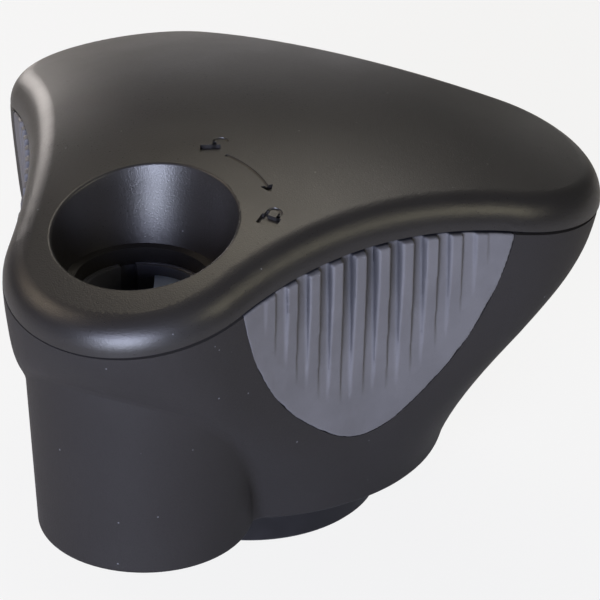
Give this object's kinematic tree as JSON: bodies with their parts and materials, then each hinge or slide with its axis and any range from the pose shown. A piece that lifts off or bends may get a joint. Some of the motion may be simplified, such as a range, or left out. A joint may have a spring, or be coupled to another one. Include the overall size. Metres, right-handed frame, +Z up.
{
  "type": "three-lobed clamping knob",
  "caption": "Three-lobed clamping knob with a domed cover, ribbed grip pads, a conical lock well over a boss, and a captive hexagon nut in the hub.",
  "frame": {"origin": "centre of the stud hole in the hub collar's clamping face, on the knob's turning axis", "axes": "+Z up along the turning axis, away from the clamped part; the lobe with the lock well points to -Y"},
  "size_m": [0.0716, 0.0659, 0.0468],
  "materials": {
    "cover": "fine spark-eroded grain, satin",
    "body": "fine matte grain",
    "grip": "soft satin rubber, grey",
    "socket": "smooth, dark",
    "stop": "smooth, light blue-grey",
    "collar": "smooth, nearly black",
    "steel": "zinc-plated steel"
  },
  "bodies": {
    "root": {"top_cover": "cover", "body": "body", "grip_pad_right": "grip", "grip_pad_rear": "grip", "grip_pad_left": "grip", "lock_socket": "socket", "socket_stop": "stop", "hub_collar": "collar", "hex_nut": "steel"}
  },
  "joints": []
}
